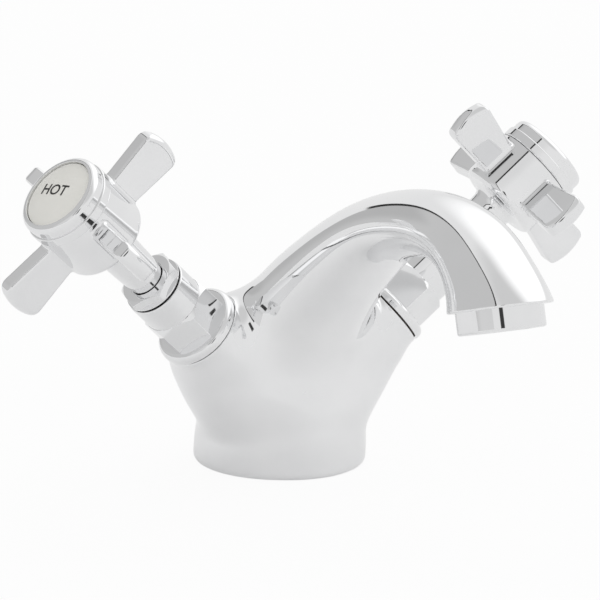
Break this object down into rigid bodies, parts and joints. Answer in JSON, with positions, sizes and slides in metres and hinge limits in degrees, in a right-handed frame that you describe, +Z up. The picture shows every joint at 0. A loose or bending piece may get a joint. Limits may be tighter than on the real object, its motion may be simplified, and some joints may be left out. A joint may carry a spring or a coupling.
{
  "type": "basin mixer faucet",
  "caption": "Traditional basin mixer faucet: chrome swan-neck spout cast on a round foot, angled screw-down valves, crosshead handles and porcelain index buttons.",
  "frame": {"origin": "centre of the foot's lower face, where it stands on the basin", "axes": "+Z up off the basin, -Y towards the spout's mouth, -X the hot valve and +X the cold valve"},
  "size_m": [0.1872, 0.1527, 0.1034],
  "materials": {
    "chrome_casting": "polished chrome plate on cast brass",
    "chrome_fittings": "polished chrome plate on turned brass",
    "chrome_handles": "polished chrome plate on cast brass",
    "spindle_chrome": "turned brass, plated",
    "brass": "plain turned brass",
    "seal_rubber": "black moulded rubber",
    "fibre": "pressed fibre",
    "flow_former": "moulded pale plastic",
    "screen_steel": "perforated stainless steel",
    "porcelain": "glazed porcelain"
  },
  "bodies": {
    "tap_body": {"body_casting": "chrome_casting", "base_seal": "seal_rubber", "aerator_housing": "chrome_fittings", "aerator_insert": "flow_former", "aerator_mesh": "screen_steel", "aerator_washer": "seal_rubber", "hot_bonnet": "chrome_fittings", "hot_bonnet_washer": "fibre", "hot_gland_nut": "chrome_fittings", "hot_gland_packing": "fibre", "hot_gland_ring": "seal_rubber", "cold_bonnet": "chrome_fittings", "cold_bonnet_washer": "fibre", "cold_gland_nut": "chrome_fittings", "cold_gland_packing": "fibre", "cold_gland_ring": "seal_rubber"},
    "hot_valve": {"hot_jumper": "brass", "hot_tap_washer": "seal_rubber", "hot_jumper_nut": "brass"},
    "hot_handle": {"hot_spindle": "spindle_chrome", "hot_crosshead": "chrome_handles", "hot_cap_ring": "chrome_handles", "hot_index_button": "porcelain", "hot_handle_screw": "brass"},
    "cold_valve": {"cold_jumper": "brass", "cold_tap_washer": "seal_rubber", "cold_jumper_nut": "brass"},
    "cold_handle": {"cold_spindle": "spindle_chrome", "cold_crosshead": "chrome_handles", "cold_cap_ring": "chrome_handles", "cold_index_button": "porcelain", "cold_handle_screw": "brass"}
  },
  "joints": [
    {"name": "hot_spindle_lift", "type": "slide", "parent": "tap_body", "child": "hot_valve", "axis": [-0.7371, -0.1393, 0.6613], "range_m": [0, 0.004]},
    {"name": "hot_handle_turn", "type": "hinge", "parent": "hot_valve", "child": "hot_handle", "pos_m": [0, -0.0008, 0.0156], "axis": [-0.7371, -0.1393, 0.6613], "range_deg": [0, 720]},
    {"name": "cold_spindle_lift", "type": "slide", "parent": "tap_body", "child": "cold_valve", "axis": [0.7371, -0.1393, 0.6613], "range_m": [0, 0.004]},
    {"name": "cold_handle_turn", "type": "hinge", "parent": "cold_valve", "child": "cold_handle", "pos_m": [0, -0.0008, 0.0156], "axis": [0.7371, -0.1393, 0.6613], "range_deg": [0, 720]}
  ],
  "couplings": [
    {"joint": "hot_spindle_lift", "follows": "hot_handle_turn", "m_per_rad": 0.000318},
    {"joint": "cold_spindle_lift", "follows": "cold_handle_turn", "m_per_rad": 0.000318}
  ]
}
